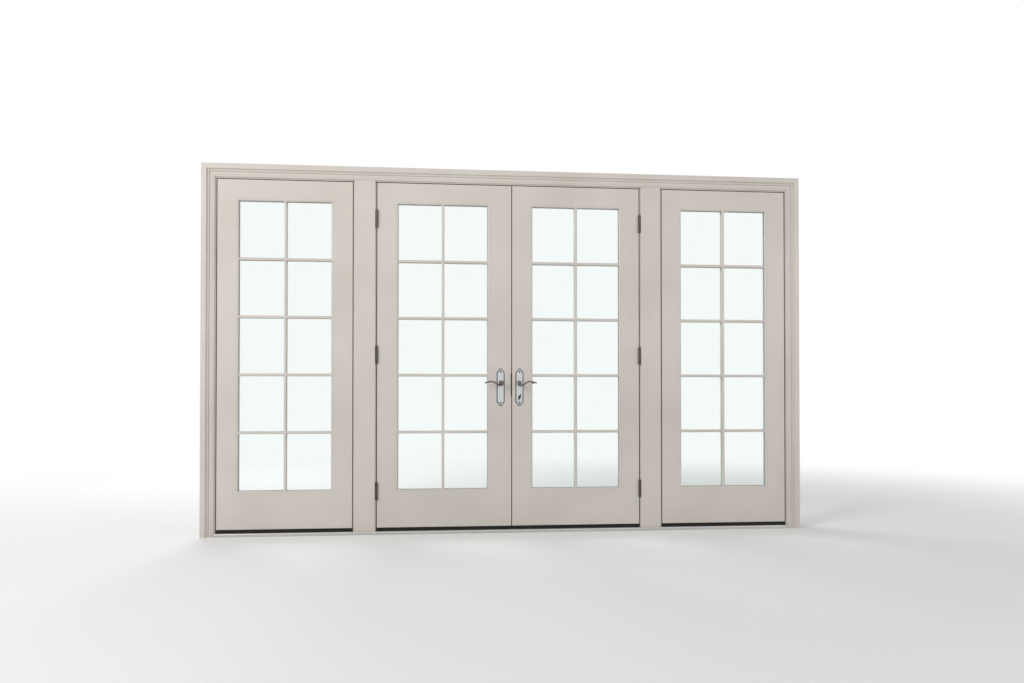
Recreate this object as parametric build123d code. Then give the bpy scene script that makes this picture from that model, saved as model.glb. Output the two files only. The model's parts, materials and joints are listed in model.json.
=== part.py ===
from build123d import *
import os
from math import cos, hypot, radians, sin

# A glazed french door unit: a pair of doors that swing into the room, one fixed panel each side,
# two mullion posts, a rabbeted frame on a metal threshold, and moulded casing round the room side.
# X runs to the right seen from the room, Y out of doors, Z up. X = 0 is the middle of the unit,
# Y = 0 the room face of the doors and the frame, and Z = 0 the floor. Millimetres.

# Panels: the two doors and the two fixed panels share one size
panel_width = 776.0
panel_height = 2032.0
panel_thickness = 44.5
panel_gap = 3.0               # clearance between a panel and its neighbour
floor_gap = 40.0              # bottom of the panels above the floor
stile_width = 111.5
top_rail_height = 112.0
bottom_rail_height = 210.0
panel_edge_break = 1.5        # small bevel along the panel's outer corners

# Glass and glazing
moulding_width = 12.0         # moulded edge between stile or rail and the glass
moulding_flat = 3.0           # plain edges each side of its quarter round
bead_quirk = 1.0              # small bevel that parts the inside bead from stiles and rails
outside_lip_depth = 12.0      # moulded edge on the outside, solid with stiles and rails
pane_thickness = 4.0
pane_space = 12.0
glazing_tape = 0.2            # between the panes and the wood each side
glass_edge_gap = 3.0          # clearance round the glass in its rabbet
spacer_inset = 2.0            # spacer bar set in from the edge of the panes
spacer_show = 1.5             # how far the spacer shows past the moulded edge
bar_width = 16.0
bar_depth = 9.0
bar_nose = 5.0
bar_edge = 2.5
lite_columns = 2
lite_rows = 5
bar_end_cope = 6.0            # bar ends run this far into the moulded edge

# Frame
post_width = 134.5
jamb_thickness = 32.0
frame_depth = 165.0
stop_width = 13.0             # how far the stops stand into each opening
seal_thickness = 4.0
seal_width = 8.0
seal_inset = 2.0              # seal set back from the edge of the stop
seal_clearance = 0.3          # between the seals and the closed doors

# Threshold
threshold_height = 20.0
threshold_nose = 24.0         # how far it reaches into the room
threshold_nose_radius = 6.0
threshold_outer = 190.0
threshold_outer_height = 7.0
threshold_wall = 3.0
threshold_web_count = 4
sweep_clearance = 0.4         # door sweep above the threshold
sweep_setback = 3.0
sweep_base = 4.0
sweep_fin = 3.0
sweep_fin_count = 4

# Casing and trim
casing_width = 76.0
casing_thickness = 27.0
casing_reveal = 6.5           # frame edge left bare beside the casing
mullion_board_thickness = 10.0
board_edge_break = 1.5
outer_trim_width = 50.0
outer_trim_thickness = 32.0
outer_trim_reveal = 6.0

# Hinges
hinge_height = 101.6
hinge_end_distance = 214.0    # hinge centre from the end of the door
hinge_knuckle_radius = 7.5
hinge_pin_radius = 3.0
hinge_pin_clearance = 0.05
hinge_axis_out = 8.0          # pin axis in front of the door face
hinge_plate_thickness = 2.5
hinge_plate_reach = 30.0      # plate behind the door face
hinge_knuckles = 5
hinge_knuckle_gap = 0.4
hinge_plate_clearance = 0.5   # between a plate and the other plate's knuckles
hinge_screw_rows = 4          # countersunk holes up each hinge plate
hinge_screw_zigzag = 10.0     # how far the holes step in and out
hinge_tip_height = 3.2
hinge_tip_radius = 4.8
recess_play = 0.2             # play round plates let into wood

# Astragal on the door that opens second
astragal_width = 20.0

# Countersunk screw holes in the metal plates
screw_head_radius = 4.0
screw_shank_radius = 2.2

# Handles
handle_backset = 45.0
handle_height = 893.0         # lever axis above the floor
turn_drop = 87.0              # thumbturn axis below the lever axis
plate_width = 45.0
plate_above = 83.0            # plate above and below the lever axis
plate_below = 140.0
plate_thickness = 5.0
plate_taper = 28.0            # height of the pointed ends before their tips are rounded
plate_tip_radius = 7.0
plate_shoulder_radius = 24.0
plate_edge_break = 1.2
plate_base_thickness = 3.2    # thin border round the raised field
plate_field_inset = 3.5
plate_screw_inset = 19.0      # screw holes from the ends of the plate
lever_neck_radius = 7.0
lever_collar_radius = 12.0
lever_collar_depth = 7.0
lever_reach_out = 50.0        # lever centreline in front of the door face
lever_length = 100.0
lever_half_depth = 5.2        # half of the bar's section towards the room
lever_half_height = 4.4
lever_sections = 14           # ovals along the bar before its rounded tip
shaft_clearance = 0.08
spindle_size = 8.0
spindle_hole_radius = 6.5
socket_depth = 10.0
socket_play = 0.1
turn_shaft_radius = 5.0
turn_collar_radius = 8.0
turn_collar_depth = 4.0
turn_grip_length = 37.0
turn_grip_width = 8.0
turn_grip_depth = 12.0
turn_tilt = 28.0
turn_tail_radius = 4.0
key_plug_radius = 8.0
key_slot_height = 9.0
key_slot_width = 1.6
key_slot_depth = 3.0

# Locks and bolts
case_thickness = 18.0
case_depth = 66.0
case_above = 45.0             # case above the lever axis
case_below = 112.0
faceplate_width = 22.0
faceplate_thickness = 3.0
faceplate_over = 15.0         # faceplate past each end of the case
faceplate_screw_inset = 7.0
bolt_thickness = 12.0
bolt_play = 0.3
bolt_setback = 0.5            # bolt ends behind the faceplate when withdrawn
lever_bolt_height = 16.0
lever_bolt_length = 30.0
dead_bolt_height = 30.0
dead_bolt_length = 42.0
dead_bolt_drop = 52.0         # dead bolt axis below the lever axis
rod_size = 10.0
rod_in_case = 30.0
rod_end_setback = 2.0
rod_socket_play = 1.0
rod_socket_depth = 17.0
strike_thickness = 2.0
strike_depth = 36.0
strike_lip = 5.0
strike_lip_thickness = 1.5
strike_lip_taper = 8.0        # slanting ends of the lip
strike_above = 61.0           # strike plate above the lever axis
strike_below = 85.0
strike_screw_inset = 14.0
strike_play = 0.6
strike_pocket_depth = 16.0


# Places worked out from the sizes above
opening_half = (2 * panel_width + astragal_width + 3 * panel_gap) / 2
door_center = opening_half - panel_gap - panel_width / 2
door_hinge_edge = opening_half - panel_gap
door_meeting_edge = door_hinge_edge - panel_width
post_outer = opening_half + post_width
side_center = post_outer + panel_gap + panel_width / 2
jamb_face = post_outer + 2 * panel_gap + panel_width
jamb_back = jamb_face + jamb_thickness
panel_bottom = floor_gap
panel_top = panel_bottom + panel_height
head_face = panel_top + panel_gap
head_top = head_face + jamb_thickness
stop_plane = panel_thickness + seal_thickness

rabbet_width = panel_width - 2 * stile_width
rabbet_height = panel_height - top_rail_height - bottom_rail_height
glass_mid = bottom_rail_height + rabbet_height / 2
glazing_depth = 2 * pane_thickness + pane_space + 2 * glazing_tape
outer_glass_y = panel_thickness - outside_lip_depth
inner_glass_y = outer_glass_y - glazing_depth
pane_y = inner_glass_y + glazing_tape

casing_inner_x = jamb_face + casing_reveal
casing_inner_z = head_face + casing_reveal
casing_outer_x = casing_inner_x + casing_width
casing_outer_z = casing_inner_z + casing_width

hinge_axis_x = opening_half - panel_gap / 2
hinge_heights = [
    panel_bottom + hinge_end_distance,
    panel_bottom + panel_height / 2,
    panel_top - hinge_end_distance,
]

handle_x = door_meeting_edge + handle_backset
turn_height = handle_height - turn_drop
dead_bolt_z = handle_height - dead_bolt_drop
mid_thickness = panel_thickness / 2
case_top = handle_height + case_above
case_bottom = handle_height - case_below
astragal_left = -door_meeting_edge
astragal_right = astragal_left + astragal_width
rod_x = astragal_left - bolt_play - rod_size / 2


def block(x0, x1, y0, y1, z0, z1):
    """A box between two corners."""
    size = Box(abs(x1 - x0), abs(y1 - y0), abs(z1 - z0))
    return Pos((x0 + x1) / 2, (y0 + y1) / 2, (z0 + z1) / 2) * size


def outline(points):
    """A flat face from straight edges, in the XY plane."""
    return make_face(Polyline(*points, close=True))


def upright(face, z0, z1):
    """A section drawn in X and Y, run up from z0 to z1."""
    return Pos(0, 0, z0) * extrude(face, z1 - z0)


def lengthwise(face, x0, x1):
    """A section drawn as Y and Z, run along X from x0 to x1."""
    return Pos(x0, 0, 0) * extrude(Plane.YZ * face, x1 - x0)


def mirrored_x(shape):
    return mirror(shape, Plane.YZ)


def rod_y(radius, x, z, y0, y1):
    """A round bar along Y."""
    return Pos(x, (y0 + y1) / 2, z) * Rot(90, 0, 0) * Cylinder(radius, abs(y1 - y0))


def screw_seat(depth):
    """Countersunk hole with its mouth at the origin, going down to -depth."""
    sink = (screw_head_radius - screw_shank_radius) * 1.2
    cone = Pos(0, 0, -sink / 2) * Cone(screw_shank_radius, screw_head_radius, sink)
    return cone + Pos(0, 0, -depth / 2) * Cylinder(screw_shank_radius, depth)


def solids_of(*shapes):
    """Separate solids kept together as one sub-part."""
    return Compound(children=[solid for shape in shapes for solid in shape.solids()])


# Glazing: moulded edges, bars, panes


def quarter_round_section(glass_y, face_y):
    """Moulded edge: X runs from the rabbet to the visible glass, Y through the panel."""
    side = 1 if face_y > glass_y else -1
    run = moulding_width - moulding_flat
    rise = abs(face_y - glass_y) - moulding_flat
    edge = (moulding_width, glass_y + side * moulding_flat)
    face = (moulding_flat, face_y)
    middle = (moulding_flat + run * cos(radians(45)), edge[1] + side * rise * sin(radians(45)))
    straight = Polyline(face, (0, face_y), (0, glass_y), (moulding_width, glass_y), edge)
    return make_face(straight + ThreePointArc(edge, middle, face))


def mitred_strip(section, length):
    """The section run along Z, cut at 45 degrees at both ends, longest at X = 0."""
    half = length / 2
    trim = outline([(0, -half), (moulding_width, moulding_width - half),
                    (moulding_width, half - moulding_width), (0, half)])
    return upright(section, -half, half) & extrude(Plane.XZ * trim, panel_thickness * 2, both=True)


def moulding_side(section, side):
    """One side of the moulded edge round the glass, about the middle of the glass."""
    turns = {"left": 0, "top": 90, "right": 180, "bottom": -90}
    upright_side = side in ("left", "right")
    length = rabbet_height if upright_side else rabbet_width
    reach = (rabbet_width if upright_side else rabbet_height) / 2
    return Rot(0, turns[side], 0) * Pos(-reach, 0, 0) * mitred_strip(section, length)


def outside_lip(side):
    return moulding_side(quarter_round_section(outer_glass_y, panel_thickness), side)


def bar_section(glass_y, side):
    """Glazing bar: a rounded nose on a base that lies on the glass."""
    half = bar_width / 2
    nose = bar_nose / 2
    low = glass_y + side * bar_edge
    top = glass_y + side * bar_depth
    mid_x = nose + (half - nose) * cos(radians(45))
    mid_y = low + (top - low) * sin(radians(45))
    right = ThreePointArc((half, low), (mid_x, mid_y), (nose, top))
    left = ThreePointArc((-nose, top), (-mid_x, mid_y), (-half, low))
    nose_line = Line((nose, top), (-nose, top))
    base = Polyline((-half, low), (-half, glass_y), (half, glass_y), (half, low))
    return make_face(right + nose_line + left + base)


def glazing_bars(glass_y, side):
    """All bars of one face, about the middle of the glass."""
    section = bar_section(glass_y, side)
    sight_width = rabbet_width - 2 * moulding_width
    sight_height = rabbet_height - 2 * moulding_width
    tall = sight_height + 2 * bar_end_cope
    wide = sight_width + 2 * bar_end_cope
    bars = None
    for column in range(1, lite_columns):
        x = sight_width * (column / lite_columns - 0.5)
        bar = Pos(x, 0, 0) * upright(section, -tall / 2, tall / 2)
        bars = bar if bars is None else bars + bar
    for row in range(1, lite_rows):
        z = sight_height * (row / lite_rows - 0.5)
        bar = Pos(0, 0, z) * Rot(0, 90, 0) * upright(section, -wide / 2, wide / 2)
        bars = bar if bars is None else bars + bar
    return bars


def inside_bead_section():
    """Section of the inside bead: the moulded edge with its outer front corner taken off."""
    corner = outline([(0, 0), (bead_quirk, 0), (0, bead_quirk)])
    return quarter_round_section(inner_glass_y, 0) - corner


def inside_grille():
    """Inside glazing bead with its bars, held against the inner pane."""
    section = inside_bead_section()
    grille = glazing_bars(inner_glass_y, -1)
    for side in ("left", "right", "top", "bottom"):
        grille = grille + moulding_side(section, side)
    return grille


def outside_grille():
    """Outside bars, coped at their ends over the moulded edge."""
    bars = glazing_bars(outer_glass_y, 1)
    for side in ("left", "right", "top", "bottom"):
        bars = bars - outside_lip(side)
    return bars


def glass_panes():
    half_width = rabbet_width / 2 - glass_edge_gap
    half_height = rabbet_height / 2 - glass_edge_gap
    inner = block(-half_width, half_width, pane_y, pane_y + pane_thickness, -half_height, half_height)
    return solids_of(inner, Pos(0, pane_thickness + pane_space, 0) * inner)


def glass_spacer():
    """Spacer bar between the two panes, all round their edge."""
    y0 = pane_y + pane_thickness
    y1 = y0 + pane_space
    outer_x = rabbet_width / 2 - glass_edge_gap - spacer_inset
    outer_z = rabbet_height / 2 - glass_edge_gap - spacer_inset
    inner_x = rabbet_width / 2 - moulding_width - spacer_show
    inner_z = rabbet_height / 2 - moulding_width - spacer_show
    ring = block(-outer_x, outer_x, y0, y1, -outer_z, outer_z)
    return ring - block(-inner_x, inner_x, y0, y1, -inner_z, inner_z)


def stile(side):
    """Full-height stile, side -1 left or 1 right, in the panel's own frame."""
    reach = panel_width / 2
    bevel = panel_edge_break
    section = outline([
        (-reach + bevel, 0), (-reach + stile_width, 0), (-reach + stile_width, panel_thickness),
        (-reach + bevel, panel_thickness), (-reach, panel_thickness - bevel), (-reach, bevel),
    ])
    plain = upright(section, 0, panel_height)
    left = plain + Pos(0, 0, glass_mid) * outside_lip("left")
    return left if side < 0 else mirrored_x(left)


def top_rail():
    half = rabbet_width / 2
    rail = block(-half, half, 0, panel_thickness, panel_height - top_rail_height, panel_height)
    return rail + Pos(0, 0, glass_mid) * outside_lip("top")


def bottom_rail():
    half = rabbet_width / 2
    rail = block(-half, half, 0, panel_thickness, 0, bottom_rail_height)
    return rail + Pos(0, 0, glass_mid) * outside_lip("bottom")


def sweep_section(drop):
    """Comb of fins under a panel, drawn as Y and Z below z = 0."""
    y0 = sweep_setback
    y1 = panel_thickness - sweep_setback
    pitch = (y1 - y0 - sweep_fin) / (sweep_fin_count - 1)
    points = [(y0, 0)]
    for fin in range(sweep_fin_count):
        start = y0 + fin * pitch
        points += [(start, -drop), (start + sweep_fin, -drop)]
        if fin < sweep_fin_count - 1:
            points += [(start + sweep_fin, -sweep_base), (start + pitch, -sweep_base)]
    points.append((y1, 0))
    return outline(points)


def panel_sweep(drop):
    half = panel_width / 2
    return lengthwise(sweep_section(drop), -half, half)


def door_sweep(side):
    """Sweep under a door; the one on the left also runs under the astragal."""
    drop = floor_gap - threshold_height - sweep_clearance
    if side > 0:
        return place_panel(panel_sweep(drop), door_center)
    strip = Pos(0, 0, panel_bottom) * lengthwise(sweep_section(drop), -door_hinge_edge, astragal_right)
    return strip - rod_socket(0, panel_bottom)


# Frame


def threshold_outline():
    """Outside of the threshold as Y and Z: rounded nose, flat top, slope to the weather."""
    nose = -threshold_nose
    corner = threshold_nose_radius
    slope_start = stop_plane
    top = threshold_height
    arc_mid = (nose + corner * (1 - cos(radians(45))), top - corner * (1 - sin(radians(45))))
    edge = Polyline((nose + corner, top), (slope_start, top), (threshold_outer, threshold_outer_height),
                    (threshold_outer, 0), (nose, 0), (nose, top - corner))
    return make_face(edge + ThreePointArc((nose, top - corner), arc_mid, (nose + corner, top)))


def threshold():
    """Hollow metal threshold, its nose cut back between the casing legs."""
    section = threshold_outline()
    nose = -threshold_nose
    top = threshold_height
    slope_start = stop_plane
    wall = threshold_wall
    flat_from = nose + threshold_nose_radius
    bay = (slope_start - flat_from) / threshold_web_count
    for web in range(threshold_web_count):
        start = flat_from + web * bay + wall / 2
        end = start + bay - wall
        section -= outline([(start, wall), (end, wall), (end, top - wall), (start, top - wall)])
    end = threshold_outer - wall
    slope = (threshold_outer_height - top) / (threshold_outer - slope_start)
    start = slope_start + wall / 2
    rise = top - wall + slope * (start - slope_start)
    fall = threshold_outer_height - wall + slope * (end - threshold_outer)
    bar_end = start + (rise - wall) * (end - start) / (rise - fall) - wall
    section -= outline([(start, wall), (bar_end, wall), (start, rise)])
    body = lengthwise(section, -jamb_back, jamb_back)
    for side in (-1, 1):
        body -= block(side * casing_inner_x, side * jamb_back, nose, 0, 0, top)
    return body - rod_socket(threshold_height - rod_socket_depth, threshold_height)


def rod_socket(z0, z1):
    """Square socket for the end of a shoot bolt."""
    half = rod_size / 2 + rod_socket_play
    return block(rod_x - half, rod_x + half, mid_thickness - half, mid_thickness + half, z0, z1)


def head_jamb():
    section = outline([(0, head_face), (stop_plane, head_face), (stop_plane, head_face - stop_width),
                       (frame_depth, head_face - stop_width), (frame_depth, head_top), (0, head_top)])
    head = lengthwise(section, -jamb_back, jamb_back)
    return head - rod_socket(head_face, head_face + rod_socket_depth)


def fit_between(upright_piece, head):
    """Cope a frame upright to the threshold below and the head above."""
    return upright_piece - lengthwise(threshold_outline(), -jamb_back, jamb_back) - head


def side_jamb(head):
    """Right-hand side jamb with its rabbet."""
    section = outline([(jamb_face, 0), (jamb_back, 0), (jamb_back, frame_depth),
                       (jamb_face - stop_width, frame_depth), (jamb_face - stop_width, stop_plane),
                       (jamb_face, stop_plane)])
    return fit_between(upright(section, 0, head_top), head)


def mullion_post(head):
    """Right-hand post with a rabbet each side and three hinge gains."""
    inner_stop = opening_half - stop_width
    outer_stop = post_outer + stop_width
    section = outline([(opening_half, 0), (post_outer, 0), (post_outer, stop_plane),
                       (outer_stop, stop_plane), (outer_stop, frame_depth), (inner_stop, frame_depth),
                       (inner_stop, stop_plane), (opening_half, stop_plane)])
    post = fit_between(upright(section, 0, head_top), head)
    for z in hinge_heights:
        post -= hinge_gain(opening_half, 1, z)
    return post


def casing_section():
    """Casing moulding: X from the inner edge outwards, Y towards the room (negative).
    In turn a quarter round, a swelling field, a quirk, a small bead, a cove and a flat band."""
    wide = casing_width
    thick = casing_thickness
    round_end = wide * 0.12
    field_end = wide * 0.37
    quirk_end = wide * 0.41
    bead_end = wide * 0.52
    band_start = wide * 0.585
    corner = wide * 0.05
    edge = Polyline((0, 0), (0, -thick * 0.2))
    quarter = ThreePointArc((0, -thick * 0.2), (round_end * 0.3, -thick * 0.36), (round_end, -thick * 0.42))
    drop = Line((round_end, -thick * 0.42), (round_end, -thick * 0.33))
    field = ThreePointArc((round_end, -thick * 0.33), ((round_end + field_end) / 2, -thick * 0.43),
                          (field_end, -thick * 0.46))
    quirk = Polyline((field_end, -thick * 0.46), (field_end, -thick * 0.37), (quirk_end, -thick * 0.37),
                     (quirk_end, -thick * 0.5))
    bead = ThreePointArc((quirk_end, -thick * 0.5), ((quirk_end + bead_end) / 2, -thick * 0.6),
                         (bead_end, -thick * 0.58))
    cove_mid = bead_end + (band_start - bead_end) * 0.65
    cove = ThreePointArc((bead_end, -thick * 0.58), (cove_mid, -thick * 0.68), (band_start, -thick * 0.9))
    band = Polyline((band_start, -thick * 0.9), (band_start + corner / 2, -thick), (wide - corner, -thick))
    outer = ThreePointArc((wide - corner, -thick), (wide - corner * 0.3, -thick + corner * 0.3),
                          (wide, -thick + corner))
    back = Polyline((wide, -thick + corner), (wide, 0), (0, 0))
    return make_face(edge + quarter + drop + field + quirk + bead + cove + band + outer + back)


def outer_trim_section():
    """Outside trim: X from the inner edge outwards, Y out of doors."""
    wide = outer_trim_width
    thick = outer_trim_thickness
    back = Polyline((wide, thick * 0.55), (wide, 0), (0, 0), (0, thick * 0.6))
    inner = ThreePointArc((0, thick * 0.6), (wide * 0.05, thick * 0.85), (wide * 0.2, thick))
    flat = Polyline((wide * 0.2, thick), (wide * 0.45, thick), (wide * 0.45, thick * 0.9))
    cove = ThreePointArc((wide * 0.45, thick * 0.9), (wide * 0.65, thick * 0.66), (wide, thick * 0.55))
    return make_face(back + inner + flat + cove)


def mitred_surround(section, inner_x, inner_z, width, y0):
    """Two legs and a head round an opening, mitred at the top: right leg, left leg, head."""
    reach = 4 * (casing_thickness + outer_trim_thickness)
    leg_area = outline([(inner_x, 0), (inner_x + width, 0), (inner_x + width, inner_z + width),
                        (inner_x, inner_z)])
    head_area = outline([(-inner_x, inner_z), (inner_x, inner_z), (inner_x + width, inner_z + width),
                         (-inner_x - width, inner_z + width)])
    leg = Pos(inner_x, y0, 0) * upright(section, 0, inner_z + width)
    leg = leg & Pos(0, y0, 0) * extrude(Plane.XZ * leg_area, reach, both=True)
    outer = inner_x + width
    along = Rot(0, -90, 0) * upright(section, -outer, outer)
    head = Pos(0, y0, inner_z) * along
    head = head & Pos(0, y0, 0) * extrude(Plane.XZ * head_area, reach, both=True)
    return leg, mirrored_x(leg), head


def mullion_board():
    """Flat board on the room face of the right-hand post."""
    x0 = opening_half + casing_reveal
    x1 = post_outer - casing_reveal
    edge = board_edge_break
    front = -mullion_board_thickness
    section = outline([(x0, 0), (x0, front + edge), (x0 + edge, front), (x1 - edge, front),
                       (x1, front + edge), (x1, 0)])
    return upright(section, threshold_height, casing_inner_z)


def seal_strips(x0, x1, panel_face):
    """Compression seals on the stops round one opening: two sides and the top."""
    inner = stop_width - seal_inset - seal_width
    top = head_face - inner
    low = top - seal_width
    left = block(x0 + inner, x0 + inner + seal_width, panel_face, stop_plane, threshold_height, low)
    right = block(x1 - inner - seal_width, x1 - inner, panel_face, stop_plane, threshold_height, low)
    above = block(x0 + inner, x1 - inner, panel_face, stop_plane, low, top)
    return [left, right, above]


def frame_seals():
    door_face = panel_thickness + seal_clearance
    strips = seal_strips(-opening_half, opening_half, door_face)
    strips += seal_strips(post_outer, jamb_face, panel_thickness)
    strips += seal_strips(-jamb_face, -post_outer, panel_thickness)
    for side in (-1, 1):
        strips.append(Pos(side * side_center, 0, panel_bottom) * panel_sweep(floor_gap - threshold_height))
    return solids_of(*strips)


# Hinges: the pin axis is the local origin, the door is on the +X side


def knuckle_span(index):
    pitch = (hinge_height + hinge_knuckle_gap) / hinge_knuckles
    low = -hinge_height / 2 + index * pitch
    return low, low + pitch - hinge_knuckle_gap


def hinge_half(side):
    """One hinge plate with its knuckles: side 1 is the door's, side -1 the frame's."""
    reach = hinge_axis_out + hinge_plate_reach
    near = side * panel_gap / 2
    far = side * (panel_gap / 2 + hinge_plate_thickness)
    half = block(near, far, 0, reach, -hinge_height / 2, hinge_height / 2)
    own = 1 if side > 0 else 0
    relief = hinge_knuckle_radius + hinge_plate_clearance
    for index in range(hinge_knuckles):
        low, high = knuckle_span(index)
        if index % 2 != own:
            room = high - low + 2 * hinge_knuckle_gap
            half -= Pos(0, 0, (low + high) / 2) * Cylinder(relief, room)
    for index in range(hinge_knuckles):
        low, high = knuckle_span(index)
        if index % 2 == own:
            half += Pos(0, 0, (low + high) / 2) * Cylinder(hinge_knuckle_radius, high - low)
    half -= Cylinder(hinge_pin_radius + hinge_pin_clearance, 2 * hinge_height)
    middle = hinge_axis_out + hinge_plate_reach / 2
    for row in range(hinge_screw_rows):
        z = hinge_height * ((row + 0.5) / hinge_screw_rows - 0.5)
        y = middle + hinge_screw_zigzag * (row % 2 - 0.5)
        half -= Pos(near, y, z) * Rot(0, -90 * side, 0) * screw_seat(2 * hinge_plate_thickness)
    return half


def hinge_pin():
    """Pin with a turned button tip at each end."""
    tip = Pos(0, 0, (hinge_height + hinge_tip_height) / 2) * Cylinder(hinge_tip_radius, hinge_tip_height)
    tip = fillet(tip.edges().sort_by(Axis.Z)[-1], hinge_tip_height * 0.8)
    return Cylinder(hinge_pin_radius, hinge_height) + tip + mirror(tip, Plane.XY)


def hinge_gain(edge_x, side, z):
    """Recess for a hinge plate: edge_x is the wood's edge, side the way into the wood."""
    deep = edge_x + side * hinge_plate_thickness
    half = hinge_height / 2 + recess_play
    return block(edge_x, deep, 0, hinge_plate_reach + recess_play, z - half, z + half)


def hinge_set(piece):
    """Three copies at the left door's hinge axis."""
    return [Pos(-hinge_axis_x, -hinge_axis_out, z) * piece for z in hinge_heights]


# Handles: drawn for the right-hand door


def plate_outline():
    """Escutcheon outline with pointed, rounded ends, about the lever axis."""
    half = plate_width / 2
    overrun = plate_tip_radius * (hypot(half, plate_taper) / half - 1)
    top = plate_above + overrun
    bottom = -plate_below - overrun
    face = outline([(half, bottom + plate_taper), (half, top - plate_taper), (0, top),
                    (-half, top - plate_taper), (-half, bottom + plate_taper), (0, bottom)])
    tips = [corner for corner in face.vertices() if abs(corner.X) < 1]
    face = fillet(tips, plate_tip_radius)
    shoulders = [corner for corner in face.vertices() if abs(corner.X) > half - 0.1]
    return fillet(shoulders, plate_shoulder_radius)


def plate_layer(face, thickness):
    """A flat layer towards the room with its front edge bevelled."""
    layer = extrude(Plane.XZ * face, thickness)
    return chamfer(layer.faces().sort_by(Axis.Y)[0].edges(), plate_edge_break)


def escutcheon(turn_bore):
    """Long plate on the room face of the right-hand door; turn_bore is None without a turn."""
    face = plate_outline()
    raised = offset(face, -plate_field_inset)
    body = plate_layer(face, plate_base_thickness) + plate_layer(raised, plate_thickness)
    for z in (plate_above - plate_screw_inset, plate_screw_inset - plate_below):
        body -= Pos(0, -plate_thickness, z) * Rot(90, 0, 0) * screw_seat(2 * plate_thickness)
    body = Pos(handle_x, 0, handle_height) * body
    neck = lever_neck_radius + shaft_clearance
    body -= rod_y(neck, handle_x, handle_height, -2 * plate_thickness, plate_thickness)
    if turn_bore is not None:
        bore = turn_bore + shaft_clearance
        body -= rod_y(bore, handle_x, turn_height, -2 * plate_thickness, plate_thickness)
    return body


def lever_centreline():
    """The lever as shares of its length, X out from its axis and Z: it winds out of the hub,
    dips under it, rises to a crest and falls to the tip."""
    return [
        (0.030, 0.035), (-0.035, 0.078), (-0.105, 0.035), (-0.122, -0.060), (-0.055, -0.145),
        (0.070, -0.176), (0.240, -0.095), (0.410, 0.008), (0.620, 0.047), (0.800, 0.015), (1.000, -0.035),
    ]


def lever_swell(place):
    """Share of the full section at a place along the lever: slim in the hub, round at the tip."""
    root = min(1.0, 0.62 + 1.4 * place)
    tip = min(1.0, (1.0 - place) * 18)
    return root * max((1.0 - (1.0 - tip) ** 2) ** 0.5, 0.3)


def lever_blade():
    """Scrolled and waved lever bar, lofted through ovals along its centreline."""
    path = Spline(*[(lever_length * x, 0, lever_length * z) for x, z in lever_centreline()])
    places = [0.94 * step / lever_sections for step in range(lever_sections + 1)] + [0.97, 0.99, 1.0]
    ovals = []
    for place in places:
        plane = Plane(origin=path @ place, x_dir=(0, 1, 0), z_dir=path % place)
        swell = lever_swell(place)
        ovals.append(plane * Ellipse(lever_half_depth * swell, lever_half_height * swell))
    return Pos(0, -lever_reach_out, 0) * loft(ovals)


def lever_inside(spindle_end):
    """Lever, neck, collar and square spindle; the spindle ends at spindle_end."""
    front = -lever_reach_out - lever_neck_radius
    neck = rod_y(lever_neck_radius, 0, 0, front, -seal_clearance)
    neck = fillet(neck.edges().sort_by(Axis.Y)[0], lever_neck_radius * 0.5)
    collar_back = -plate_thickness - seal_clearance
    collar = rod_y(lever_collar_radius, 0, 0, collar_back - lever_collar_depth, collar_back)
    collar = chamfer(collar.edges().sort_by(Axis.Y)[0], lever_collar_depth * 0.4)
    half = spindle_size / 2
    spindle = block(-half, half, -plate_thickness, spindle_end, -half, half)
    return neck + collar + lever_blade() + spindle


def lever_outside():
    """The outside lever: the same lever turned to face out, with a socket for the spindle."""
    plain = lever_inside(-seal_clearance)
    half = spindle_size / 2 + socket_play
    socket = block(-half, half, -socket_depth, plate_thickness, -half, half)
    return Pos(0, panel_thickness, 0) * mirror(plain - socket, Plane.XZ)


def thumbturn():
    """Curved turn on a collar, its shaft through the lock to the key plug outside."""
    front = -plate_thickness - seal_clearance
    grip_x = turn_grip_length / 2
    bend = turn_grip_width * 0.35
    half = turn_grip_width / 2
    upper = ThreePointArc((-grip_x, -bend), (0, half + bend * 0.4), (grip_x, bend))
    right_low = (grip_x - half * 0.4, bend - half)
    left_low = (-grip_x + half * 0.4, -bend - half)
    tip = ThreePointArc((grip_x, bend), (grip_x + half * 0.3, bend - half * 0.5), right_low)
    lower = ThreePointArc(right_low, (0, -half * 0.9), left_low)
    heel = ThreePointArc(left_low, (-grip_x - half * 0.3, -bend - half * 0.5), (-grip_x, -bend))
    grip = extrude(Plane.XZ * make_face(upper + tip + lower + heel), turn_grip_depth)
    grip = Pos(0, front - turn_collar_depth * 0.6, 0) * Rot(0, turn_tilt - 90, 0) * grip
    collar = rod_y(turn_collar_radius, 0, 0, front - turn_collar_depth, front)
    shaft = rod_y(turn_shaft_radius, 0, 0, front, -seal_clearance)
    tail = rod_y(turn_tail_radius, 0, 0, -plate_thickness, panel_thickness + plate_thickness / 2)
    plug = rod_y(key_plug_radius, 0, 0, panel_thickness + seal_clearance, panel_thickness + plate_thickness)
    slot = block(-key_slot_width / 2, key_slot_width / 2, panel_thickness + plate_thickness - key_slot_depth,
                 panel_thickness + plate_thickness, -key_slot_height / 2, key_slot_height / 2)
    return grip + collar + shaft + tail + (plug - slot)


# Locks and bolts


def lock_case_body(x_front):
    """Closed case let into the stile, from x_front away from the door's meeting edge."""
    half = case_thickness / 2
    return block(x_front, x_front + case_depth, mid_thickness - half, mid_thickness + half,
                 case_bottom, case_top)


def bolt_way(x0, x1, z, height, play):
    """Straight way for a bolt in the middle of the door's thickness."""
    half = bolt_thickness / 2 + play
    tall = height / 2 + play
    return block(x0, x1, mid_thickness - half, mid_thickness + half, z - tall, z + tall)


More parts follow.
